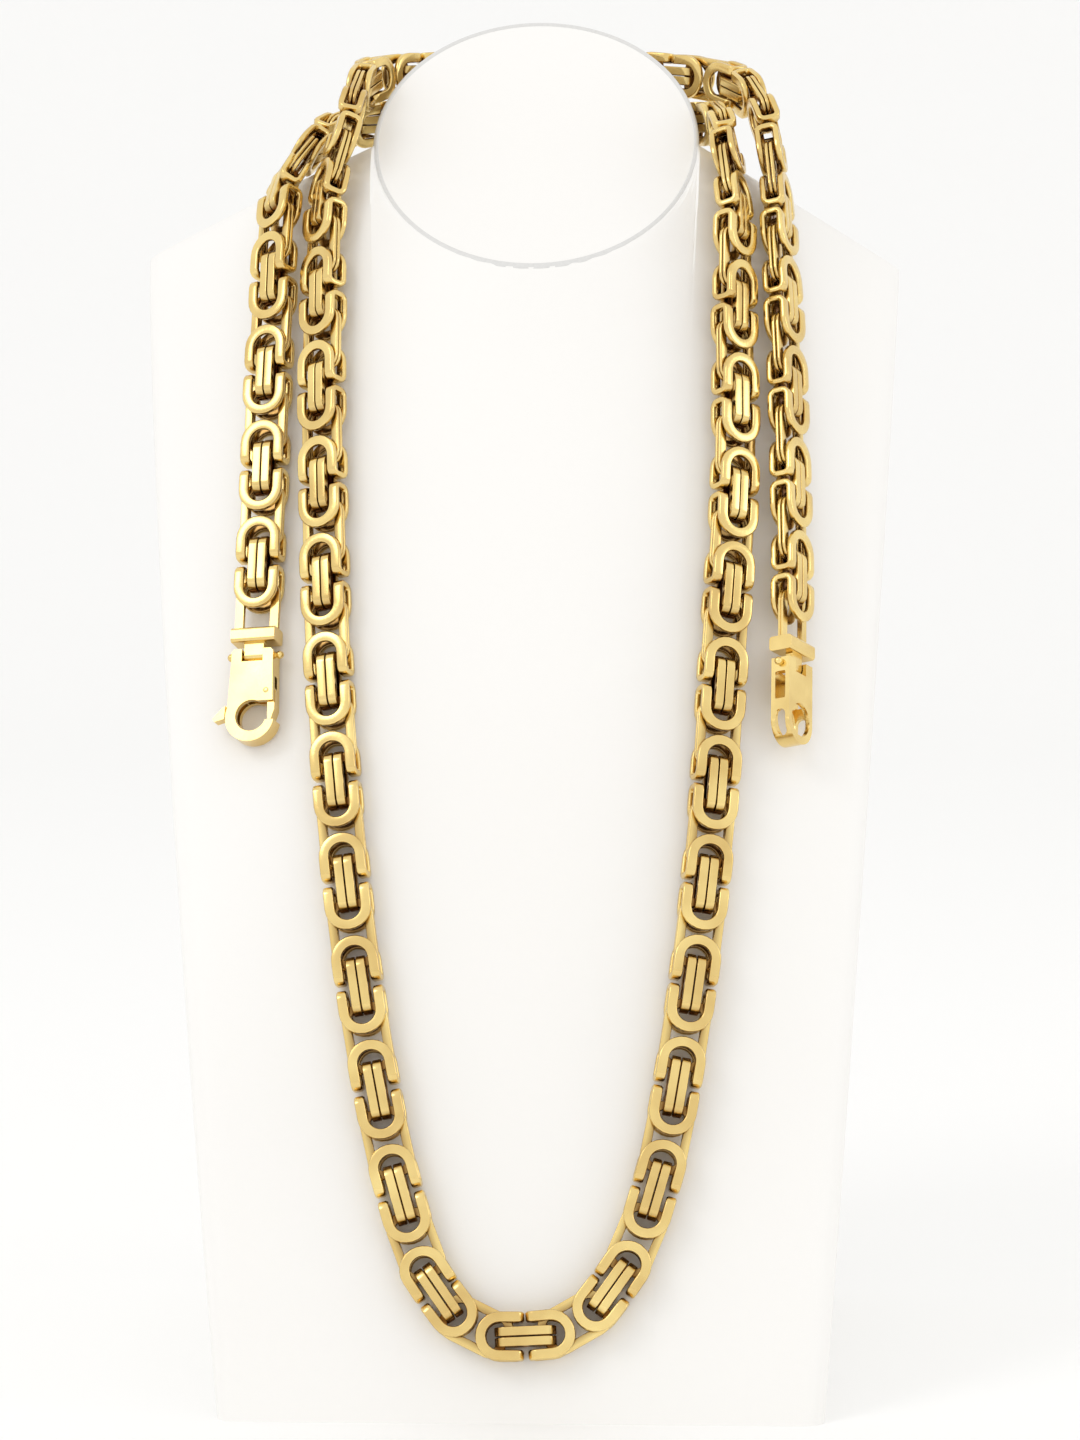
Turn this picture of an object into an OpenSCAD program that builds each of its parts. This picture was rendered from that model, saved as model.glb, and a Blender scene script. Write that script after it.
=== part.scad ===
// Flat-faced byzantine chain, open at its clasp, laid round a plain neck bust.
// Millimetres, +Z up, the bust's front towards -Y, base on z = 0.

/* [Chain] */
// Length of chain from one front oval to the next
pitch = 17.6; // [17:0.1:19]
// Width of the chain's flat face
chain_w = 8; // [7.6:0.1:8.4]
// Depth of the chain from front to back
chain_d = 4.4; // [4.2:0.1:4.8]
// Full pitches on each side of the lowest oval
side_pitches = 23; // [4:1:23]
// Gap held between the chain and what it lies on
lie_gap = 0.35; // [0.2:0.05:0.6]

/* [Saddle links] */
// Width of the flat band round a front oval
band_w = 1.75; // [1.4:0.05:2]
// Thickness of the front and back bands
band_t = 0.95; // [0.8:0.05:1.3]
// Height of the bands that cross the sides
side_band = 1.3; // [1:0.05:1.6]
// Gap between one front oval and the next
front_gap = 0.9; // [0.5:0.05:1.2]
// Gap between the side bands of one oval's two halves
side_gap = 0.75; // [0.3:0.05:0.9]
// Corner radius of the side bands
side_corner = 0.9; // [0.2:0.05:0.9]

/* [Oval pairs] */
// Length of the narrow pair that shows inside a front oval
narrow_len = 10.2; // [9:0.1:11]
// Width of the narrow pair across both plates
narrow_w = 2.9; // [2.4:0.1:3.2]
// Height of the narrow pair from front to back
narrow_d = 4.2; // [3.8:0.1:4.4]
// Width of the wide pair that shows between front ovals
wide_w = 7.9; // [7:0.1:8.4]
// Thickness of the wide pair across both plates
wide_t = 1; // [1:0.05:1.4]
// Bar width of the narrow pair, front to back
narrow_bar = 0.85; // [0.8:0.05:1.3]
// Bar width of the wide pair, side to side
wide_bar = 1.5; // [1.2:0.05:1.8]
// Wire thickness at the ends of both pairs
end_bar = 0.85; // [0.8:0.05:1.3]
// Slack where a narrow pair pulls on a wide pair
link_slack = 0.58; // [0.12:0.01:0.6]
// Width and depth of the groove between a pair's two plates
groove = 0.2; // [0.1:0.05:0.3]

/* [Ends] */
// Distance from the middle of the last wide pair to the hinge pin
pin_drop = 7.85; // [7.2:0.05:8.5]
// Height of the crossbar that closes the last wide pair
bar_h = 2.6; // [2:0.1:3]
// Distance from the pin up to the crossbar
bar_gap = 2.2; // [2.1:0.05:2.6]
// Pin radius
pin_r = 0.5; // [0.4:0.05:0.7]
// Radial play of each pin in the piece that turns on it
pin_play = 0.06; // [0.03:0.01:0.1]
// Width of the tab that turns in the clasp
clasp_tab = 3.5; // [3:0.1:3.7]
// Width of the tab that turns in the eye
eye_tab = 3; // [2.6:0.1:3.2]
// Clasp width at the knuckles
clasp_w = 7.6; // [7:0.1:8.2]
// Clasp thickness
clasp_t = 3.5; // [3:0.1:4]
// Clasp reach below its pin
clasp_len = 15.8; // [14:0.1:17]
// Radius of the clasp's round end
clasp_ring = 4.45; // [4:0.05:4.8]
// Radius of the clasp's round hole
clasp_hole = 2.8; // [2.2:0.1:3.2]
// Lever thickness
lever_t = 1; // [0.7:0.1:1.4]
// Eye width
eye_w = 7.7; // [7:0.1:8.4]
// Eye thickness
eye_t = 3.6; // [3:0.1:4]
// Eye reach below its pin
eye_len = 13.9; // [12.5:0.1:15]
// Radius of the eye's round hole
eye_hole = 2.9; // [2.2:0.1:3.2]
// Eye wall
eye_wall = 0.8; // [0.5:0.1:1.1]

/* [Bust] */
// Height of the bust to the lowest point of its slanted top
neck_front_h = 192; // [185:1:200]
// Half width of the oval neck
neck_half_w = 29.5; // [27:0.5:31]
// Half depth of the oval neck
neck_half_d = 25; // [23:0.5:27]
// Rise of the slanted top for each millimetre towards the back
top_slope = 0.98; // [0.8:0.01:1.1]
// Lean of the front, backwards from upright, in degrees
lean = 16; // [12:0.5:18]
// Half width of the front edge of the base
base_half_w = 50; // [45:1:55]
// Shoulder corner on the left, sideways from the middle
left_shoulder_w = 74; // [70:1:78]
// Shoulder corner on the right, sideways from the middle
right_shoulder_w = 67; // [62:1:72]
// Height of the left shoulder corner above the lowest point of the slanted top
left_shoulder_rise = 5; // [-2:1:8]
// Height of the right shoulder corner above the lowest point of the slanted top
right_shoulder_rise = 2; // [-4:1:8]
// Step from the slanted top's side down to the shoulder line
ridge_step = 0.9; // [0.5:0.1:2]
// Fall of the shoulders from their ridge to the back
back_fall = 5; // [2:0.5:8]
// Ledge behind the neck
back_ledge = 2.5; // [2:0.1:4]
// How far the front curves back at the left shoulder corner
shoulder_back = 41; // [34:1:48]
// How far the front rounds back at the shoulder corners
corner_round = 4; // [2:0.5:6]
// Height of the rounding under the shoulder line
shoulder_round = 22; // [16:1:26]
// Radius of the front's side edges
edge_r = 3; // [1:0.5:4]

/* [Hidden] */
$fn = 48;
eps = 0.01;
white = [0.96, 0.95, 0.93];
gold = [0.86, 0.66, 0.28];

half = pitch / 2;
lean_k = tan(lean);
neck_y = neck_front_h * lean_k + neck_half_d;
ridge_h = neck_front_h + top_slope * neck_half_d - ridge_step;
back_y = neck_y + neck_half_d + back_ledge;
shoulder_curve = shoulder_back / (left_shoulder_w * left_shoulder_w);

function sq(a) = a * a;
function unit(v) = v / norm(v);
function clamp01(a) = min(1, max(0, a));

// Front of the oval neck at a sideways place
function neck_front(x) = neck_y - neck_half_d * sqrt(max(0, 1 - sq(x / neck_half_w)));
function corner_w(x) = x < 0 ? left_shoulder_w : right_shoulder_w;
function corner_h(x) = neck_front_h + (x < 0 ? left_shoulder_rise : right_shoulder_rise);
function slanted_h(y) = neck_front_h + top_slope * (y - neck_y + neck_half_d);
// Height where the front ends: the slanted rim by the neck, then the shoulder line
function top_h(x) =
    abs(x) <= neck_half_w
        ? slanted_h(neck_front(x))
        : corner_h(x) + (corner_w(x) - abs(x)) * (ridge_h - corner_h(x)) / (corner_w(x) - neck_half_w);
function plain_front(x, z) = lean_k * z + shoulder_curve * pow(max(z, 0) / neck_front_h, 1.5) * x * x;
// How far the front rounds back where it meets the rim or the shoulder line
function rim_round(x) = max(0, neck_front(x) - plain_front(x, top_h(x)));
function round_depth(x) =
    let (side = rim_round(neck_half_w), share = (abs(x) - neck_half_w) / (corner_w(x) - neck_half_w))
    share <= 0 ? rim_round(x) : side + (corner_round - side) * share;
function front_y(x, z) =
    plain_front(x, z) + round_depth(x) * (1 - sqrt(1 - sq(clamp01(1 - (top_h(x) - z) / shoulder_round))));
// Direction that the front faces
function front_normal(x, z) =
    let (e = 0.2,
        across = front_y(x + e, z) - front_y(x - e, z),
        up = front_y(x, z + e) - front_y(x, z - e))
    unit([across, -2 * e, up]);

// Route of the chain's middle line, read from its lowest point outwards, each point chosen by eye.
// On the front: sideways place, height from the lowest point of the slanted top, roll of the face
// about the strand, lift off the bust.
clasp_side_front = [
    [8.5, -177.5, 0, 0], [15.5, -171, 0, 0], [22, -156, 2, 0], [25.5, -139, 3, 0], [28, -123, 6, 0],
    [30, -107, 6, 0], [31.5, -91, 6, 0], [32.5, -74, 10, 0], [33.5, -58, 11, 0], [34.5, -42, 11, 0],
    [34.5, -25, 20, 0], [34, -8, 24, 0], [33.5, 7, 18, 1.5]
];
eye_side_front = [
    [-8.5, -177.5, 0, 0], [-14.5, -171, 0, 0], [-20.5, -155, 0, 0], [-24.5, -138, 0, 0],
    [-27.5, -122, 0, 0], [-30, -105, 0, 0], [-32, -88, 0, 0], [-33.5, -72, 0, 0],
    [-34.5, -55, -4, 0], [-35, -39, -10, 0], [-35.5, -22, -15, 0], [-35.5, -4, -15, 0],
    [-35, 12, -5, 1.5]
];
// Round the back of the neck: turn from the front, height as above, distance out from the neck
clasp_side_neck = [
    [80, 25.5, 2.5], [110, 28.5, 1], [145, 28.5, 0.5], [180, 28.5, 0.5], [205, 28, 1.2],
    [238, 30, 5.8]
];
eye_side_neck = [
    [-82, 29, 1.5], [-112, 37, 2], [-145, 39.5, 3.5], [-180, 40, 4], [-215, 39.5, 3.5],
    [-248, 36, 7], [-270, 29, 9.5]
];
// Down the front again to the free ends
clasp_end_front = [
    [-42, 14, -18, 2.2], [-44, -4, 5, 1.5], [-45, -22, 13, 0.5], [-45.5, -39, 11, 0],
    [-46, -55, 7, 0], [-46.5, -75, 4, 0]
];
eye_end_front = [
    [40.5, 14, 24, 1], [42, -2, 32, 0], [43, -19, 36, 0], [43.5, -35, 38, 0], [44, -52, 42, 0],
    [44, -72, 42, 0]
];
lowest_point = [0, -179, 0, 0];
// Shift of the links along the route, by half pitch: hanging lengths are taut, lying ones loose
shifts = [
    [-51, 0], [-43, -1], [-37, -1], [-30, -1.9], [-24, -2.2], [-5, 1],
    [5, 1], [24, -0.8], [30, -0.7], [36, 0.5], [42, 0.8], [49, 2.2]
];

// Route of the chain
// A place on the front: the chain's middle and the way its face looks, rolled about the strand
function lie_height(r, lift) = chain_d / 2 * cos(r) + chain_w / 2 * abs(sin(r)) + lie_gap + lift;
function on_front(row) =
    let (x = row[0], z = neck_front_h + row[1], r = row[2], n = front_normal(x, z))
    [
        [x, front_y(x, z), z] + lie_height(r, row[3]) * n,
        [n[0] * cos(r) - n[1] * sin(r), n[0] * sin(r) + n[1] * cos(r), n[2]]
    ];
// A place round the neck, turned from the front
function on_neck(row) =
    let (a = row[0], off = chain_d / 2 + lie_gap + row[2])
    [
        [(neck_half_w + off) * sin(a), neck_y - (neck_half_d + off) * cos(a), neck_front_h + row[1]],
        unit([sin(a) / neck_half_w, -cos(a) / neck_half_d, 0])
    ];
function backwards(list) = [for (i = [len(list) - 1:-1:0]) list[i]];
clasp_side = concat(
    [for (r = clasp_side_front) on_front(r)],
    [for (r = clasp_side_neck) on_neck(r)],
    [for (r = clasp_end_front) on_front(r)]
);
eye_side = concat(
    [for (r = eye_side_front) on_front(r)],
    [for (r = eye_side_neck) on_neck(r)],
    [for (r = eye_end_front) on_front(r)]
);
stations = concat(backwards(eye_side), [on_front(lowest_point)], clasp_side);
station_mid = len(eye_side);
// A smooth curve through the stations, in short steps
steps = 10;
function through(a, b, c, d, t) =
    0.5 * (2 * b + (c - a) * t + (2 * a - 5 * b + 4 * c - d) * pow(t, 2)
        + (3 * b - a - 3 * c + d) * pow(t, 3));
function station(i) = stations[max(0, min(len(stations) - 1, i))];
curve = [for (i = [0:len(stations) - 2], j = [0:steps - 1])
    let (a = station(i - 1), b = station(i), c = station(i + 1), d = station(i + 2), t = j / steps)
    [through(a[0], b[0], c[0], d[0], t), through(a[1], b[1], c[1], d[1], t)]];
function step_to(i) = norm(curve[min(i + 1, len(curve) - 1)][0] - curve[i][0]);
run = [for (i = 0, s = 0; i < len(curve); s = s + step_to(i), i = i + 1) s];
run_mid = run[station_mid * steps];
tables = [for (kind = [0:1]) [for (axis = [0:2])
    [for (i = [0:len(curve) - 1]) [run[i] - run_mid, curve[i][kind][axis]]]]];
// Eased over a reach to both sides, so that neither strand nor face turns abruptly
function along(kind, s, reach) =
    [for (axis = [0:2])
        let (near = [for (d = [-4:4]) lookup(s + d * reach / 4, tables[kind][axis])])
        near * nine / 9];
nine = [1, 1, 1, 1, 1, 1, 1, 1, 1];
function place(s) = along(0, s, 8);
function face(s) = unit(along(1, s, 32));
// Direction of the strand, and its frame: sideways, backwards, along
function heading(s, reach) = unit(place(s + reach) - place(s - reach));
function frame_of(p, t, n) = let (f = unit(n - (n * t) * t)) [cross(-f, t), -f, t, p];
function frame(s) = frame_of(place(s), heading(s, half / 2), face(s));
function link_frame(j) = frame(j * half + lookup(j, shifts));
module at_frame(f) {
    multmatrix([
        [f[0][0], f[1][0], f[2][0], f[3][0]],
        [f[0][1], f[1][1], f[2][1], f[3][1]],
        [f[0][2], f[1][2], f[2][2], f[3][2]],
        [0, 0, 0, 1]
    ]) children();
}

// The origin lies in the middle of the base
mid_y = 50;
module placed() {
    translate([0, -mid_y, 0]) color(gold) children();
}

// Links, each about its own middle with the strand along Z and the face towards -Y
module rounded_rect(w, h, r) {
    square([w - 2 * r, h], center = true);
    square([w, h - 2 * r], center = true);
    for (x = [-1, 1], y = [-1, 1])
        translate([x * (w / 2 - r), y * (h / 2 - r)]) circle(r);
}
// A plate ring: its outline in its own plane, thickness across
module plate_ring(w, h, r, side, end, inner_r, t) {
    linear_extrude(t, center = true)
        difference() {
            rounded_rect(w, h, r);
            rounded_rect(w - 2 * side, h - 2 * end, inner_r);
        }
}
// Two plates side by side, joined by a web that is set back by the groove
module plate_pair(w, h, r, side, end, inner_r, t) {
    in = 2 * groove;
    plate_ring(w - in, h - in, r - groove, side - in, end - in, inner_r, t / 3);
    for (s = [-1, 1])
        translate([0, 0, s * (t + groove) / 4])
            plate_ring(w, h, r, side, end, inner_r, (t - groove) / 2);
}
module narrow_pair() {
    rotate([90, 0, 90])
        plate_pair(narrow_d, narrow_len, narrow_d / 2 - eps, narrow_bar, end_bar, 0.5, narrow_w);
}
wide_len = pitch + 4 * end_bar + 2 * link_slack - narrow_len;
module wide_pair() {
    rotate([90, 0, 0])
        plate_pair(wide_w, wide_len, 2.6, wide_bar, end_bar, 1.1, wide_t);
}
// A saddle from its oval's middle, z = 0, up to where the next oval begins
saddle_top = half - front_gap / 2;
module saddle() {
    inner = chain_w / 2 - band_w;
    side_inner = chain_d / 2 - band_t;
    intersection() {
        rotate([90, 0, 0])
            linear_extrude(chain_d + 2, center = true)
                difference() {
                    union() {
                        translate([0, saddle_top - chain_w / 2]) circle(chain_w / 2);
                        translate([-chain_w / 2, 0]) square([chain_w, saddle_top - chain_w / 2]);
                    }
                    translate([0, saddle_top - chain_w / 2]) circle(inner);
                    translate([-inner, -1]) square([2 * inner, saddle_top - chain_w / 2 + 1]);
                }
        rotate([90, 0, 90])
            linear_extrude(chain_w + 2, center = true)
                difference() {
                    translate([0, (side_gap / 2 + saddle_top) / 2])
                        rounded_rect(chain_d, saddle_top - side_gap / 2, side_corner);
                    translate([0, side_gap / 2 + side_band + side_inner]) circle(side_inner);
                    translate([-side_inner, side_gap / 2 + side_band + side_inner])
                        square([2 * side_inner, 2 * half]);
                }
    }
}
// Frame of the saddle over one half pitch, from its narrow pair's middle: in the face's plane
// it follows the narrow pair, and out of that plane the wide pair
function saddle_frame(narrow, wide) =
    let (a = link_frame(narrow), b = link_frame(wide), side = wide > narrow ? 1 : -1,
        m = unit(a[2] + b[2]), f = frame_of((a[3] + b[3]) / 2, m, -a[1] - b[1]), d = a[2] - b[2],
        t = unit(m + (follow_narrow - 0.5) * (d * f[0]) * f[0] - (follow_wide - 0.5) * (d * f[1]) * f[1]),
        o = f[3] - side * half / 2 * t,
        x = (a[3] - o) * f[0], y = (b[3] - side * half * t - o) * f[1])
    frame_of(o + x * f[0] + y * f[1], t, -(1 - turn_wide) * a[1] - turn_wide * b[1]);
follow_narrow = 0.92;
follow_wide = 0.7;
turn_wide = 0.7;
module link_at(j) {
    if (j % 2 == 0)
        at_frame(link_frame(j)) narrow_pair();
    else
        at_frame(link_frame(j)) wide_pair();
}
module saddle_at(j) {
    narrow = j % 2 == 0 ? j : j + 1;
    wide = j % 2 == 0 ? j + 1 : j;
    at_frame(saddle_frame(narrow, wide))
        mirror([0, 0, wide < narrow ? 1 : 0]) saddle();
}
module chain_clasp_half() {
    placed() {
        for (j = [0:clasp_end - 1]) link_at(j);
        for (j = [0:clasp_end - 1]) saddle_at(j);
    }
}
module chain_eye_half() {
    placed() {
        for (j = [eye_end + 1:-1]) link_at(j);
        for (j = [eye_end:-1]) saddle_at(j);
    }
}

// Ends, each about its hinge pin with X along the pin, Z up to the chain and the face towards -Y
clasp_end = 2 * side_pitches + 3;
eye_end = -2 * side_pitches - 5;
module at_end(j, turn) {
    at_frame(link_frame(j))
        rotate([0, turn, 0])
            translate([0, 0, -pin_drop]) children();
}
module along_x(w) {
    rotate([90, 0, 90]) linear_extrude(w, center = true) children();
}
module along_y(t) {
    rotate([90, 0, 0]) linear_extrude(t, center = true) children();
}
// Last wide pair, crossbar, tab and barrel in one
module connector(tab) {
    bar_top = bar_gap + bar_h;
    barrel_r = 1.05;
    intersection() {
        translate([0, 0, pin_drop]) wide_pair();
        translate([-chain_w, -chain_d, bar_top - 1]) cube([2 * chain_w, 2 * chain_d, wide_len + 1]);
    }
    translate([0, 0, bar_gap + bar_h / 2])
        along_x(chain_w) rounded_rect(chain_d, bar_h, 0.6);
    difference() {
        along_x(tab) {
            circle(barrel_r);
            translate([-barrel_r, 0]) square([1.4, bar_gap + 0.5]);
        }
        along_x(tab + 1) circle(pin_r + pin_play);
    }
    // shoulders that widen the tab under the crossbar
    intersection() {
        along_y(3)
            polygon([
                [-tab / 2, bar_gap - 0.3], [tab / 2, bar_gap - 0.3],
                [tab / 2 + 0.4, bar_gap + 0.3], [-tab / 2 - 0.4, bar_gap + 0.3]
            ]);
        translate([-4, -barrel_r, 0]) cube([8, 1.4, 4]);
    }
}
// Hinge pin with a ball at each end
module ball_pin(w) {
    along_x(w + 1) circle(pin_r);
    for (side = [-1, 1])
        translate([side * (w / 2 + 0.65), 0, 0]) sphere(0.7);
}
knuckle_top = 0.9;
notch_foot = -1.35;
press = 0.02;
ring_z = clasp_ring - clasp_len;
lever_x = 2.8;
lever_z = ring_z + 4.55;
slot_t = lever_t + 0.2;
module clasp_plate() {
    top = clasp_w / 2;
    low = clasp_ring - 0.3;
    polygon([
        [-low, ring_z + 1], [-top, -2], [-top, 0.4], [0.5 - top, knuckle_top],
        [top - 0.5, knuckle_top], [top, 0.4], [top, -2], [low, ring_z + 1]
    ]);
}
module clasp_solid() {
    difference() {
        union() {
            along_y(clasp_t) clasp_plate();
            translate([0, 0, ring_z]) along_y(clasp_t) circle(clasp_ring);
        }
        // notch for the tab, and the pin's hole
        translate([-clasp_tab / 2 - 0.2, -5, notch_foot]) cube([clasp_tab + 0.4, 10, 5]);
        along_x(12) circle(pin_r - press);
        // round hole and the gate's opening
        translate([0.2, 0, ring_z + 0.15]) along_y(6) circle(clasp_hole);
        translate([1.2, -5, ring_z - 0.75]) cube([5, 10, 3.5]);
        // inner slot that the lever lies in
        translate([-6, -slot_t / 2, ring_z + 2.75]) cube([12, slot_t, 4.6]);
        translate([-6, -slot_t / 2, ring_z - 0.95]) cube([5, slot_t, 6]);
        translate([lever_x, 0, lever_z]) along_y(6) circle(pin_r - press);
    }
}
// Lever about its own pin: arm, gate and the nub that is pressed
module lever_solid() {
    difference() {
        union() {
            along_y(lever_t) {
                circle(1.3);
                polygon([
                    [-0.2, 1.25], [0.4, -1.3], [-5, -1.1], [-7.3, -3.9],
                    [-8.2, -2.9], [-6.6, -0.9], [-4.8, 0.7]
                ]);
                polygon([[-1.2, -0.3], [1.25, 0.3], [1.4, -2.3], [0.5, -2.7], [0.1, -2.3]]);
            }
            along_y(2.6) polygon([[0.2, -2.05], [1.45, -2.05], [1.5, -3.3], [0.9, -5.15], [0.3, -5.15]]);
            along_y(2) polygon([[-7.6, -2.2], [-8.2, -2.6], [-9.9, -4.4], [-9.5, -5], [-7.7, -4.5]]);
        }
        along_y(6) circle(pin_r + pin_play);
    }
}
module eye_outline(w, foot) {
    translate([-w / 2, foot + w / 2]) square([w, knuckle_top - foot - w / 2]);
    translate([0, foot + w / 2]) circle(w / 2);
}
module eye_solid() {
    inner = eye_w / 2 - eye_wall;
    difference() {
        along_y(eye_t) eye_outline(eye_w, -eye_len);
        // hollow
        intersection() {
            along_y(2) eye_outline(2 * inner, eye_wall - eye_len);
            translate([-6, -3, notch_foot - 20]) cube([12, 6, 20]);
        }
        // notch for the tab, the pin's hole and the round hole
        translate([-eye_tab / 2 - 0.2, -5, notch_foot]) cube([eye_tab + 0.4, 10, 5]);
        along_x(12) circle(pin_r - press);
        translate([0, 0, 4.3 - eye_len]) along_y(6) circle(eye_hole);
        // windows in the sides
        translate([0, 0, -4.05]) along_x(12) rounded_rect(2, 4.9, 0.3);
        translate([0, 0, 3.3 - eye_len]) along_x(12) rounded_rect(2, 4.4, 0.95);
    }
}
module clasp_connector() {
    placed() at_end(clasp_end, 180) connector(clasp_tab);
}
module clasp_pin() {
    placed() at_end(clasp_end, 180) ball_pin(clasp_w);
}
module clasp_body() {
    placed() at_end(clasp_end, 180) clasp_solid();
}
module clasp_lever() {
    placed() at_end(clasp_end, 180) translate([lever_x, 0, lever_z]) lever_solid();
}
module lever_pin() {
    placed() at_end(clasp_end, 180) translate([lever_x, 0, lever_z]) along_y(clasp_t - 0.1) circle(pin_r);
}
module eye_connector() {
    placed() at_end(eye_end, 0) connector(eye_tab);
}
module eye_pin() {
    placed() at_end(eye_end, 0) ball_pin(eye_w);
}
module eye_body() {
    placed() at_end(eye_end, 0) eye_solid();
}

// Bust, lofted through ribs from the left shoulder corner to the right one
neck_ribs = 12;
side_ribs = 10;
rows = 24;
shelf_share = 0.06;
rib_gap = 0.3;
neck_tops = [for (i = [-neck_ribs:neck_ribs]) neck_half_w * sin(88 * i / neck_ribs)];
function side_top(side, i) =
    let (near = neck_half_w + rib_gap)
    side * (near + (corner_w(side) - near) * sin(90 * i / side_ribs));
rib_tops = concat(
    [for (i = [side_ribs:-1:0]) side_top(-1, i)],
    neck_tops,
    [for (i = [0:side_ribs]) side_top(1, i)]
);
// Sideways reach of the bust at a height, from the base edge out to the shoulder corner
function reach(x, z) = base_half_w + (corner_w(x) - base_half_w) * z / corner_h(x);
function edge_round(share) =
    edge_r * (1 - sqrt(max(0, 1 - sq(max(0, 1 - (1 - share) * base_half_w / edge_r)))));
// One rib, from the base up the front, over the top and down the back
function rib(x) =
    let (h = top_h(x), share = x / reach(x, h), round = edge_round(abs(share)))
    concat(
        [for (j = [0:rows])
            let (z = h * sin(90 * j / rows), u = share * reach(x, z))
            [u, front_y(u, z) + round, z]],
        abs(x) < neck_half_w ? neck_back(x) : shoulder_top(x, h, share, front_y(x, h) + round),
        [[share * base_half_w, back_y, 0]]
    );
// Over the slanted top, down the back of the neck and back over the ledge
function shelf_h(y) = ridge_h - back_fall * (y - neck_y) / (back_y - neck_y);
function neck_back(x) =
    let (y = 2 * neck_y - neck_front(x))
    [[x, y, slanted_h(y)], [x, y, shelf_h(y)], [x, back_y, ridge_h - back_fall]];
function shoulder_top(x, h, share, y) =
    [for (part = [shelf_share, 2 * shelf_share, 1])
        let (z = h - back_fall * part)
        [share * reach(x, z), y + (back_y - y) * part, z]];
module bust() {
    per = rows + 5;
    last = len(rib_tops) - 1;
    points = [for (x = rib_tops) each rib(x)];
    skin = [for (i = [0:last - 1], j = [0:per - 1])
        let (a = i * per + j, b = i * per + (j + 1) % per)
        each [[a, b, b + per], [a, b + per, a + per]]];
    left_end = [for (j = [per - 1:-1:0]) j];
    right_end = [for (j = [0:per - 1]) last * per + j];
    translate([0, -mid_y, 0])
        color(white) polyhedron(points, concat(skin, [left_end, right_end]), convexity = 6);
}

bust();
chain_clasp_half();
chain_eye_half();
clasp_connector();
clasp_pin();
clasp_body();
clasp_lever();
lever_pin();
eye_connector();
eye_pin();
eye_body();
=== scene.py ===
import math

import bmesh
import bpy
import numpy as np
from mathutils import Matrix, Vector


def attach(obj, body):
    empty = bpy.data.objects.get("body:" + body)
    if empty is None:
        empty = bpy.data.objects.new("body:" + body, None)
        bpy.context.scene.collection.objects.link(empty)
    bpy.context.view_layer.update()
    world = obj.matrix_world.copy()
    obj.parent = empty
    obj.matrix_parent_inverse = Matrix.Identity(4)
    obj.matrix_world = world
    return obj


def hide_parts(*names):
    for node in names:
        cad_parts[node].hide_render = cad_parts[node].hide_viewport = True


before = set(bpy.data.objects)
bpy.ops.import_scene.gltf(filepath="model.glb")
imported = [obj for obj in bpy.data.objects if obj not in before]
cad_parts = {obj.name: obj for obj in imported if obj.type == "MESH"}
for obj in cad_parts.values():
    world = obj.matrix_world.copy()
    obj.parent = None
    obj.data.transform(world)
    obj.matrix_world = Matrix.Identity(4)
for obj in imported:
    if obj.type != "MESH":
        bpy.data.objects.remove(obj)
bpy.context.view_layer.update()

mm = 0.001


def note(text):
    print("[chain on bust]", text)


# Shader maths: a socket that can be written in expressions
class Channel:
    def __init__(self, finish, socket):
        self.finish, self.socket = finish, socket

    def maths(self, operation, *values):
        return self.finish.node("ShaderNodeMath", {"operation": operation}, dict(enumerate(values)))

    def __add__(self, other):
        return self.maths("ADD", self, other)

    def __radd__(self, other):
        return self.maths("ADD", other, self)

    def __sub__(self, other):
        return self.maths("SUBTRACT", self, other)

    def __rsub__(self, other):
        return self.maths("SUBTRACT", other, self)

    def __mul__(self, other):
        return self.maths("MULTIPLY", self, other)

    def __rmul__(self, other):
        return self.maths("MULTIPLY", other, self)


class Finish:
    def __init__(self, name, **shader):
        self.material = bpy.data.materials.new(name)
        self.material.use_nodes = True
        self.nodes = self.material.node_tree.nodes
        self.links = self.material.node_tree.links
        self.shader = next(n for n in self.nodes if n.type == "BSDF_PRINCIPLED")
        for key, value in shader.items():
            self.shader.inputs[key].default_value = value
        coordinates = self.nodes.new("ShaderNodeTexCoord")
        self.place = Channel(self, coordinates.outputs["Object"])

    def node(self, kind, settings, values, output=0):
        made = self.nodes.new(kind)
        for key, value in settings.items():
            if key == "stops":
                ramp = made.color_ramp
                while len(ramp.elements) < len(value):
                    ramp.elements.new(0.5)
                for stop, (position, colour) in zip(ramp.elements, value):
                    stop.position, stop.color = position, colour
            else:
                setattr(made, key, value)
        for key, value in values.items():
            if isinstance(value, Channel):
                self.links.new(value.socket, made.inputs[key])
            else:
                made.inputs[key].default_value = value
        return Channel(self, made.outputs[output])

    def noise(self, scale, detail=2.0, roughness=0.5):
        return self.node("ShaderNodeTexNoise", {}, {"Vector": self.place, "Scale": scale, "Detail": detail,
                                                    "Roughness": roughness})

    def mix(self, factor, first, second):
        # 6 and 7 are the two colour inputs, 2 the colour output
        return self.node("ShaderNodeMix", {"data_type": "RGBA"}, {"Factor": factor, 6: first, 7: second},
                         output=2)

    def ramp(self, factor, stops):
        return self.node("ShaderNodeValToRGB", {"stops": stops}, {"Fac": factor})

    def drive(self, name, channel):
        self.links.new(channel.socket, self.shader.inputs[name])

    def bump(self, height, strength, distance):
        self.drive("Normal", self.node("ShaderNodeBump", {}, {"Height": height, "Strength": strength,
                                                              "Distance": distance}))


black = (0, 0, 0, 1)
white = (1, 1, 1, 1)

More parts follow.
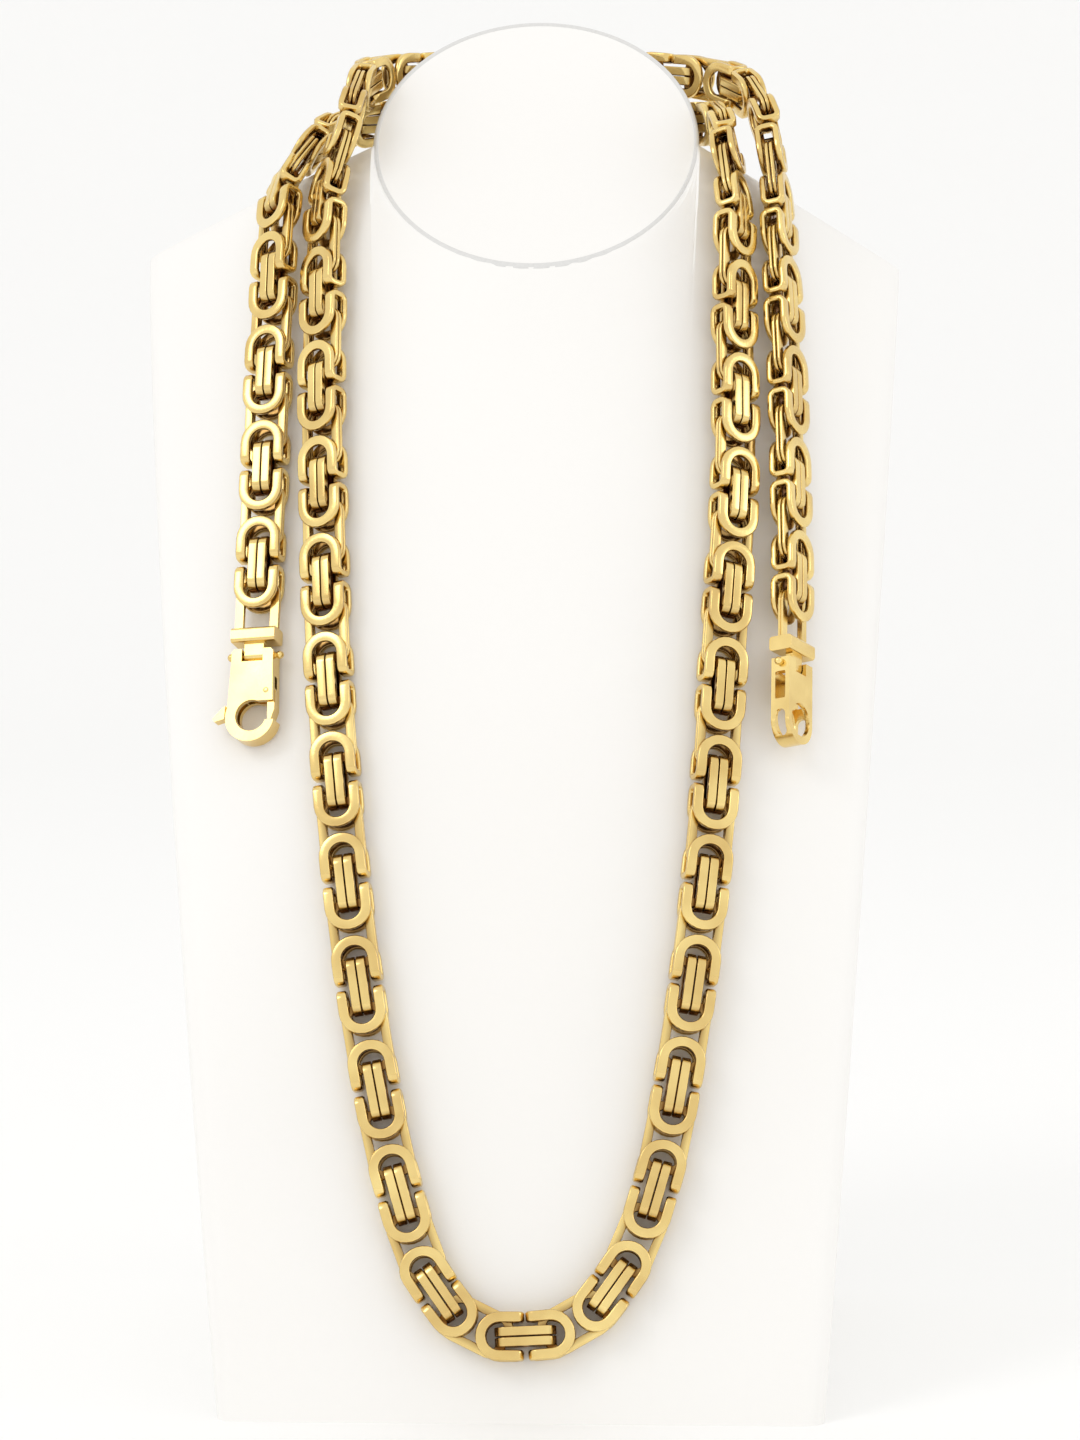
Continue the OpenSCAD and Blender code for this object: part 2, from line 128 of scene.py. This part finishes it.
# painted shade for the chain's gold: hollowUpTo and unshadedFrom are shares of the way from the chain's
# middle to its outside; the dark painted shade colour is full up to the first and gone from the second
goldLook = {
    "pale": (0.96, 0.75, 0.31, 1), "deep": (0.72, 0.50, 0.185, 1), "hollow": (0.175, 0.068, 0.012, 1),
    "patch": 110, "contrast": 2.2, "hollowUpTo": 0.42, "unshadedFrom": 0.86,
    "roughness": 0.19, "shine": 0.05, "wearRough": 0.09, "patchRough": 0.04,
    "scratch": 2600, "scratchDetail": 4.0, "scratchBite": 0.6, "scratchBump": 0.25, "scratchDepth": 0.000012,
}


def polishedGold(name, hollows):
    gold = Finish(name, Metallic=1.0, Roughness=goldLook["roughness"])
    patches = gold.noise(goldLook["patch"], 3.0)
    wear = gold.noise(goldLook["scratch"], goldLook["scratchDetail"], goldLook["scratchBite"])
    colour = gold.mix(goldLook["contrast"] * (patches - 0.5) + 0.5, goldLook["deep"], goldLook["pale"])
    if hollows:
        # painted shade: the gold's colour darkens towards the middle of the chain, standing in for the shade
        # between the links
        outward = gold.node("ShaderNodeAttribute", {"attribute_name": "outward"}, {}, output=2)
        unshaded = gold.ramp(outward, [(goldLook["hollowUpTo"], black), (goldLook["unshadedFrom"], white)])
        colour = gold.mix(unshaded, goldLook["hollow"], colour)
    gold.drive("Base Color", colour)
    gold.drive("Roughness", goldLook["roughness"] - goldLook["shine"] + goldLook["wearRough"] * wear
               + goldLook["patchRough"] * patches)
    gold.bump(wear, goldLook["scratchBump"], goldLook["scratchDepth"])
    return gold.material


leatherLook = {
    "white": (0.93, 0.92, 0.90, 1), "shade": (0.90, 0.885, 0.86, 1), "cloud": 14, "specular": 0.35,
    "roughness": 0.5, "smoothest": 0.42, "poreRough": 0.14,
    "grain": 900, "pores": 2200, "grainShare": 0.6, "poreShare": 0.4, "bump": 0.35, "depth": 0.00006,
}


def whiteLeatherette():
    leather = Finish("whiteLeatherette", Roughness=leatherLook["roughness"])
    leather.shader.inputs["Specular IOR Level"].default_value = leatherLook["specular"]
    cells = leather.node("ShaderNodeTexVoronoi", {"feature": "DISTANCE_TO_EDGE"},
                         {"Vector": leather.place, "Scale": leatherLook["grain"]})
    pores = leather.noise(leatherLook["pores"], 3.0)
    cloud = leather.noise(leatherLook["cloud"])
    leather.drive("Base Color", leather.mix(cloud, leatherLook["shade"], leatherLook["white"]))
    leather.drive("Roughness", leatherLook["smoothest"] + leatherLook["poreRough"] * pores)
    leather.bump(cells * leatherLook["grainShare"] + pores * leatherLook["poreShare"], leatherLook["bump"],
                 leatherLook["depth"])
    return leather.material


# the piping's grey is painted shadow: the seam along the rim's lower edge is darkened to stand in for the
# thin shadow line there; the thread noise between its two greys is the cloth's own texture
pipingLook = {
    "pale": (0.76, 0.755, 0.74, 1), "shade": (0.66, 0.655, 0.645, 1), "roughness": 0.55,
    "thread": 1800, "bump": 0.3, "depth": 0.00005,
}


def pipingPaintedShadow():
    piping = Finish("pipingPaintedShadow", Roughness=pipingLook["roughness"])
    thread = piping.noise(pipingLook["thread"])
    piping.drive("Base Color", piping.mix(thread, pipingLook["shade"], pipingLook["pale"]))
    piping.bump(thread, pipingLook["bump"], pipingLook["depth"])
    return piping.material


chainGoldPaintedShade = polishedGold("chainGoldPaintedShade", True)
fittingGold = polishedGold("fittingGold", False)
leatherFinish = whiteLeatherette()
pipingFinish = pipingPaintedShadow()
note("finishes made")


def vertsOf(geometry):
    return [g for g in geometry if isinstance(g, bmesh.types.BMVert)]


def edgesOf(geometry):
    return [g for g in geometry if isinstance(g, bmesh.types.BMEdge)]


def softEdged(bm, degrees):
    # edges flatter than this are shaded smooth
    limit = math.radians(degrees)
    bm.normal_update()
    for face in bm.faces:
        face.smooth = True
    for edge in bm.edges:
        edge.smooth = len(edge.link_faces) != 2 or edge.calc_face_angle(0) < limit


def piece(name, bm, finish, body):
    mesh = bpy.data.meshes.new(name)
    bm.to_mesh(mesh)
    bm.free()
    mesh.materials.append(finish)
    made = bpy.data.objects.new(name, mesh)
    bpy.context.scene.collection.objects.link(made)
    steady = made.modifiers.new("evenFaces", "WEIGHTED_NORMAL")
    steady.keep_sharp = True
    steady.weight = 80
    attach(made, body)
    return made


# Wire: a flat bar with cut corners, drawn along runs and bends, in mm
class Wire:
    def __init__(self, width, depth, corner, start, across=(1, 0, 0), up=(0, 1, 0)):
        self.bm = bmesh.new()
        sides = 8  # four flats and four cut corners
        ring = bmesh.ops.create_circle(self.bm, cap_ends=False, radius=1.0, segments=sides)["verts"]
        start, across, up = Vector(start), Vector(across), Vector(up)
        for i, vert in enumerate(ring):
            turn = 2 * math.pi * (i + 0.5) / sides
            a, b = math.cos(turn), math.sin(turn)
            wide = width / 2 - (corner if abs(b) > abs(a) else 0)
            tall = depth / 2 - (corner if abs(a) > abs(b) else 0)
            vert.co = (start + across * math.copysign(wide, a) + up * math.copysign(tall, b)) * mm
        self.end = list(ring) + list(self.bm.edges)

    def run(self, *by):
        made = bmesh.ops.extrude_edge_only(self.bm, edges=edgesOf(self.end))["geom"]
        verts = vertsOf(made)
        self.end = verts + [e for e in edgesOf(made) if all(v in verts for v in e.verts)]
        bmesh.ops.translate(self.bm, verts=verts, vec=Vector(by) * mm)
        return self

    def bend(self, centre, axis, degrees, steps):
        made = bmesh.ops.spin(self.bm, geom=self.end, cent=Vector(centre) * mm, axis=Vector(axis),
                              angle=math.radians(degrees), steps=steps, use_merge=False, use_duplicate=False)
        self.end = made["geom_last"]
        return self

    def close(self):
        bmesh.ops.remove_doubles(self.bm, verts=self.bm.verts, dist=link["weld"] * mm)
        bmesh.ops.recalc_face_normals(self.bm, faces=self.bm.faces)
        return self.bm


# a link's x is across the chain, y through it and z along it, in mm
link = {
    "pitch": 17.6, "width": 7.95, "depth": 4.4, "frontGap": 0.9, "sideGap": 0.75,
    "band": 1.72, "bandDepth": 1.08, "corner": 0.24, "sideTurn": 0.95, "archSteps": 12, "turnSteps": 3,
    "narrowLength": 10.2, "narrowWidth": 3.2, "narrowDepth": 4.15, "narrowBar": 1.15,
    "narrowGroove": 0.2, "narrowCorner": 0.13, "narrowSteps": 8,
    "wideLength": 11.9, "wideWidth": 7.8, "wideDepth": 1.5, "wideBar": 1.5, "wideTurn": 1.85,
    "wideGroove": 0.12, "wideCorner": 0.16, "wideSteps": 4,
    "weld": 0.002, "crease": 60,
}


def saddleLink():
    top = (link["pitch"] - link["frontGap"]) / 2
    reach = (link["width"] - link["band"]) / 2
    face = (link["depth"] - link["bandDepth"]) / 2
    arch = top - link["width"] / 2
    foot = (link["sideGap"] + link["bandDepth"]) / 2
    turn = link["sideTurn"]
    leg = arch - foot - turn
    archSteps, turnSteps = link["archSteps"], link["turnSteps"]
    wire = Wire(link["band"], link["bandDepth"], link["corner"], (-reach, -face, arch))
    wire.bend((0, -face, arch), (0, 1, 0), 180, archSteps).run(0, 0, -leg)
    wire.bend((0, turn - face, foot + turn), (1, 0, 0), 90, turnSteps).run(0, 2 * (face - turn), 0)
    wire.bend((0, face - turn, foot + turn), (1, 0, 0), 90, turnSteps).run(0, 0, leg)
    wire.bend((0, face, arch), (0, 1, 0), -180, archSteps).run(0, 0, -leg)
    wire.bend((0, face - turn, foot + turn), (1, 0, 0), -90, turnSteps).run(0, -2 * (face - turn), 0)
    wire.bend((0, turn - face, foot + turn), (1, 0, 0), -90, turnSteps).run(0, 0, leg)
    return wire.close()


def narrowRing(side):
    groove = link["narrowGroove"] / 2
    width = link["narrowWidth"] / 2 - groove
    face = (link["narrowDepth"] - link["narrowBar"]) / 2
    straight = (link["narrowLength"] - link["narrowDepth"]) / 2
    x = side * (width / 2 + groove)
    steps = link["narrowSteps"]
    wire = Wire(width, link["narrowBar"], link["narrowCorner"], (x, -face, -straight))
    wire.run(0, 0, 2 * straight).bend((0, 0, straight), (1, 0, 0), -180, steps)
    wire.run(0, 0, -2 * straight).bend((0, 0, -straight), (1, 0, 0), -180, steps)
    return wire.close()


def wideRing(side):
    groove = link["wideGroove"] / 2
    depth = link["wideDepth"] / 2 - groove
    turn = link["wideTurn"]
    across = (link["wideWidth"] - link["wideBar"]) / 2
    tall = (link["wideLength"] - link["wideBar"]) / 2
    y = side * (depth / 2 + groove)
    steps = link["wideSteps"]
    wire = Wire(link["wideBar"], depth, link["wideCorner"], (-across, y, turn - tall))
    wire.run(0, 0, 2 * (tall - turn)).bend((turn - across, y, tall - turn), (0, 1, 0), 90, steps)
    wire.run(2 * (across - turn), 0, 0).bend((across - turn, y, tall - turn), (0, 1, 0), 90, steps)
    wire.run(0, 0, -2 * (tall - turn)).bend((across - turn, y, turn - tall), (0, 1, 0), 90, steps)
    wire.run(-2 * (across - turn), 0, 0).bend((turn - across, y, turn - tall), (0, 1, 0), 90, steps)
    return wire.close()


def pattern(name, *parts):
    mesh = bpy.data.meshes.new(name)
    whole = bmesh.new()
    for bm in parts:
        part = bpy.data.meshes.new(name + "Part")
        bm.to_mesh(part)
        bm.free()
        whole.from_mesh(part)
        bpy.data.meshes.remove(part)
    softEdged(whole, link["crease"])
    whole.to_mesh(mesh)
    whole.free()
    return mesh


patterns = {
    "saddle": pattern("saddlePattern", saddleLink()),
    "narrow": pattern("narrowPattern", narrowRing(-1), narrowRing(1)),
    "wide": pattern("widePattern", wideRing(-1), wideRing(1)),
}
note("link patterns made")

# the kind of a loose solid is told by its least thickness, in mm
looseSolid = {"wideUnder": 2, "narrowUnder": 3.5, "weld": 0.0005}


def looseSolids(mesh):
    # each loose solid of a CAD node, as one array of triangles
    bm = bmesh.new()
    bm.from_mesh(mesh)
    bmesh.ops.remove_doubles(bm, verts=bm.verts, dist=looseSolid["weld"] * mm)
    bmesh.ops.triangulate(bm, faces=bm.faces)
    seen, solids = set(), []
    for first in bm.faces:
        if first.index in seen:
            continue
        seen.add(first.index)
        stack, triangles = [first], []
        while stack:
            face = stack.pop()
            triangles.append([v.co[:] for v in face.verts])
            for edge in face.edges:
                for other in edge.link_faces:
                    if other.index not in seen:
                        seen.add(other.index)
                        stack.append(other)
        solids.append(np.array(triangles))
    bm.free()
    return solids


def solidAxes(triangles):
    # middle and main axes of a solid, the axis of least spread first
    origin = triangles.reshape(-1, 3).mean(axis=0)
    corners = triangles - origin
    volume = np.einsum("ij,ij->i", corners[:, 0], np.cross(corners[:, 1], corners[:, 2])) / 6
    sums = corners.sum(axis=1)
    middle = (volume[:, None] * sums).sum(axis=0) / 4 / volume.sum()
    spread = np.einsum("i,ij,ik->jk", volume, sums, sums)
    for corner in range(3):
        spread += np.einsum("i,ij,ik->jk", volume, corners[:, corner], corners[:, corner])
    spread = spread / 20 / volume.sum() - np.outer(middle, middle)
    return origin + middle, np.linalg.eigh(spread)[1].T


def linkPlaces(node):
    # which link each loose solid is, and where it lies
    places, saddles = [], []
    for triangles in looseSolids(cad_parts[node].data):
        middle, axes = solidAxes(triangles)
        points = triangles.reshape(-1, 3)
        spans = [np.ptp(points @ axis) / mm for axis in axes]
        if min(spans) < looseSolid["wideUnder"]:
            kind, (y, x, z) = "wide", [axes[i] for i in np.argsort(spans)]
        elif min(spans) < looseSolid["narrowUnder"]:
            kind, (x, y, z) = "narrow", [axes[i] for i in np.argsort(spans)]
        else:
            saddles.append((middle, axes, points))
            continue
        places.append((kind, middle, x, y, z))
    return places, saddles


def saddlePlaces(saddles, narrowMiddles):
    # a saddle opens towards the narrow pair that it holds
    places = []
    for middle, axes, points in saddles:
        y, z, x = axes
        nearest = min(narrowMiddles, key=lambda n: np.linalg.norm(n - middle))
        z = z * np.sign(z @ (middle - nearest))
        foot = middle + z * ((points @ z).min() - middle @ z - link["sideGap"] / 2 * mm)
        places.append(("saddle", foot, x, y, z))
    return places


def addLink(bm, outward, kind, middle, x, y, z):
    if np.dot(np.cross(x, y), z) < 0:
        x = -x
    place = Matrix(((x[0], y[0], z[0], middle[0]), (x[1], y[1], z[1], middle[1]),
                    (x[2], y[2], z[2], middle[2]), (0, 0, 0, 1)))
    before = len(bm.verts)
    bm.from_mesh(patterns[kind])
    bm.verts.ensure_lookup_table()
    for vert in bm.verts[before:]:
        # 0 in the middle of the chain, 1 at its outside; it sets where the gold's painted shade between the
        # links falls
        vert[outward] = max(abs(vert.co.x) / link["width"], abs(vert.co.y) / link["depth"]) * 2 / mm
    bmesh.ops.transform(bm, matrix=place, verts=bm.verts[before:])


chainHalves = {"chain_clasp_links": "chain_clasp_half", "chain_eye_links": "chain_eye_half"}
found = {name: linkPlaces(node) for name, node in chainHalves.items()}
narrowMiddles = [place[1] for places, _ in found.values() for place in places if place[0] == "narrow"]
for name, node in chainHalves.items():
    places, saddles = found[name]
    bm = bmesh.new()
    outward = bm.verts.layers.float.new("outward")
    for place in places + saddlePlaces(saddles, narrowMiddles):
        addLink(bm, outward, *place)
    note(f"{name}: {len(places) + len(saddles)} links, {len(bm.faces)} faces")
    made = piece(name, bm, chainGoldPaintedShade, "bust")
    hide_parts(node)
for mesh in patterns.values():
    bpy.data.meshes.remove(mesh)

copyWeld = 0.001  # mm


def roundedCopy(node, flat, sharp, edge):
    # a CAD node's shape, its flat faces joined and its sharp edges rounded
    bm = bmesh.new()
    bm.from_mesh(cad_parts[node].data)
    bmesh.ops.remove_doubles(bm, verts=bm.verts, dist=copyWeld * mm)
    bmesh.ops.dissolve_limit(bm, angle_limit=math.radians(flat), verts=bm.verts, edges=bm.edges)
    bm.normal_update()
    limit = math.radians(sharp)
    crisp = [e for e in bm.edges if len(e.link_faces) == 2 and e.calc_face_angle(0) > limit]
    bmesh.ops.bevel(bm, geom=crisp, offset=edge * mm, offset_type="OFFSET", segments=2, profile=0.5,
                    affect="EDGES", clamp_overlap=True, material=-1)
    return bm


# angles in degrees; edge is how far the edges are rounded, in mm
metal = {"flat": 1, "sharp": 40, "crease": 50}
endPieces = {
    "clasp_connector": {"body": "bust", "edge": 0.16},
    "clasp_pin": {"body": "clasp", "edge": 0.05},
    "clasp_body": {"body": "clasp", "edge": 0.2},
    "clasp_lever": {"body": "lever", "edge": 0.12},
    "lever_pin": {"body": "clasp", "edge": 0.08},
    "eye_connector": {"body": "bust", "edge": 0.16},
    "eye_pin": {"body": "eye", "edge": 0.05},
    "eye_body": {"body": "eye", "edge": 0.16},
}
for node, end in endPieces.items():
    bm = roundedCopy(node, metal["flat"], metal["sharp"], end["edge"])
    bmesh.ops.recalc_face_normals(bm, faces=bm.faces)
    softEdged(bm, metal["crease"])
    made = piece(node + "_metal", bm, fittingGold, end["body"])
    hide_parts(node)
note("clasp and eye made")

bustCover = {"flat": 0.3, "sharp": 42, "edge": 0.5, "crease": 40}


def bustSkin():
    bm = roundedCopy("bust", bustCover["flat"], bustCover["sharp"], bustCover["edge"])
    softEdged(bm, bustCover["crease"])
    made = piece("bust_cover", bm, leatherFinish, "bust")
    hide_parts("bust")


# the slanted oval top and the piping along its edge, in mm; slope is the rise for each mm back
rim = {
    "width": 29.5, "depth": 25, "height": 192, "slope": 0.98, "middle": 30.055,
    "pipe": 0.42, "inset": 0.35, "sunk": 0.2, "sides": 8, "steps": 96, "crease": 60,
}


def rimPiping():
    bm = bmesh.new()
    ring = bmesh.ops.create_circle(bm, cap_ends=False, radius=rim["pipe"] * mm, segments=rim["sides"],
                                   matrix=Matrix.Rotation(math.radians(90), 4, "X"))["verts"]
    reach = rim["depth"] - rim["inset"]
    bmesh.ops.translate(bm, verts=ring, vec=(reach * mm, 0, 0))
    bmesh.ops.spin(bm, geom=bm.verts[:] + bm.edges[:], cent=(0, 0, 0), axis=(0, 0, 1), angle=2 * math.pi,
                   steps=rim["steps"], use_merge=True)
    stretch = (rim["width"] - rim["inset"]) / reach
    level = rim["height"] + rim["slope"] * rim["depth"] - rim["sunk"]
    slanted = Matrix(((stretch, 0, 0, 0), (0, 1, 0, rim["middle"] * mm),
                      (0, rim["slope"], 1, level * mm), (0, 0, 0, 1)))
    bmesh.ops.transform(bm, matrix=slanted, verts=bm.verts)
    bmesh.ops.recalc_face_normals(bm, faces=bm.faces)
    softEdged(bm, rim["crease"])
    piece("rim_piping", bm, pipingFinish, "bust")


bustSkin()
rimPiping()
note("bust made")

# floor, light and camera, in metres
sweep = {
    "size": 4.0, "back": 1.6, "bend": 1.2, "steps": 16, "height": 1.8, "crease": 30,
    "shade": (0.965, 0.965, 0.96, 1), "pale": (0.975, 0.975, 0.97, 1), "cloud": 3, "roughness": 0.7,
}


def floor():
    # the floor bends up behind the bust into a plain backdrop
    bm = bmesh.new()
    bmesh.ops.create_grid(bm, x_segments=1, y_segments=1, size=sweep["size"],
                          matrix=Matrix.Translation((0, sweep["back"] - sweep["size"], 0)))
    far = [e for e in bm.edges if all(v.co.y > sweep["back"] - 0.01 for v in e.verts)]
    made = bmesh.ops.spin(bm, geom=far, cent=(0, sweep["back"], sweep["bend"]), axis=(1, 0, 0),
                          angle=math.radians(90), steps=sweep["steps"], use_merge=False, use_duplicate=False)
    wall = bmesh.ops.extrude_edge_only(bm, edges=edgesOf(made["geom_last"]))["geom"]
    bmesh.ops.translate(bm, verts=vertsOf(wall), vec=(0, 0, sweep["height"]))
    softEdged(bm, sweep["crease"])
    mesh = bpy.data.meshes.new("floor")
    bm.to_mesh(mesh)
    bm.free()
    pale = Finish("paleFloor", Roughness=sweep["roughness"])
    pale.drive("Base Color", pale.mix(pale.noise(sweep["cloud"]), sweep["shade"], sweep["pale"]))
    mesh.materials.append(pale.material)
    made = bpy.data.objects.new("floor", mesh)
    bpy.context.scene.collection.objects.link(made)


daylight = {"Color": (1.0, 0.995, 0.985, 1), "Strength": 0.98}
lamps = {
    "keyLamp": {"at": (-0.8, -0.7, 1.0), "size": 0.5, "power": 2.2},
    "sideLamp": {"at": (1.1, -0.2, 0.5), "size": 0.35, "power": 0.8},
}
lampAim = (0, 0, 0.12)


def studio():
    world = bpy.data.worlds.new("studio")
    bpy.context.scene.world = world
    world.use_nodes = True
    for key, value in daylight.items():
        world.node_tree.nodes["Background"].inputs[key].default_value = value
    for name, lamp in lamps.items():
        data = bpy.data.lights.new(name, "AREA")
        data.shape, data.size, data.energy = "SQUARE", lamp["size"], lamp["power"]
        made = bpy.data.objects.new(name, data)
        made.location = lamp["at"]
        aim = Vector(lampAim) - made.location
        made.rotation_euler = aim.to_track_quat("-Z", "Y").to_euler()
        bpy.context.scene.collection.objects.link(made)


# down and left are in degrees, focal and frameHeight in the photograph's pixels, sensor in mm
shot = {"at": (0.0233, -0.650, 0.149), "down": 3.2, "left": 1.902, "focal": 3713.0, "frameHeight": 1440,
        "sensor": 36}


def camera():
    data = bpy.data.cameras.new("shot")
    data.sensor_width = shot["sensor"]
    data.lens = shot["sensor"] * shot["focal"] / shot["frameHeight"]
    made = bpy.data.objects.new("shot", data)
    made.location = shot["at"]
    made.rotation_euler = (math.radians(90 - shot["down"]), 0, math.radians(shot["left"]))
    bpy.context.scene.collection.objects.link(made)
    bpy.context.scene.camera = made


floor()
studio()
camera()
bpy.context.scene.view_settings.view_transform = "Standard"
note("studio made")
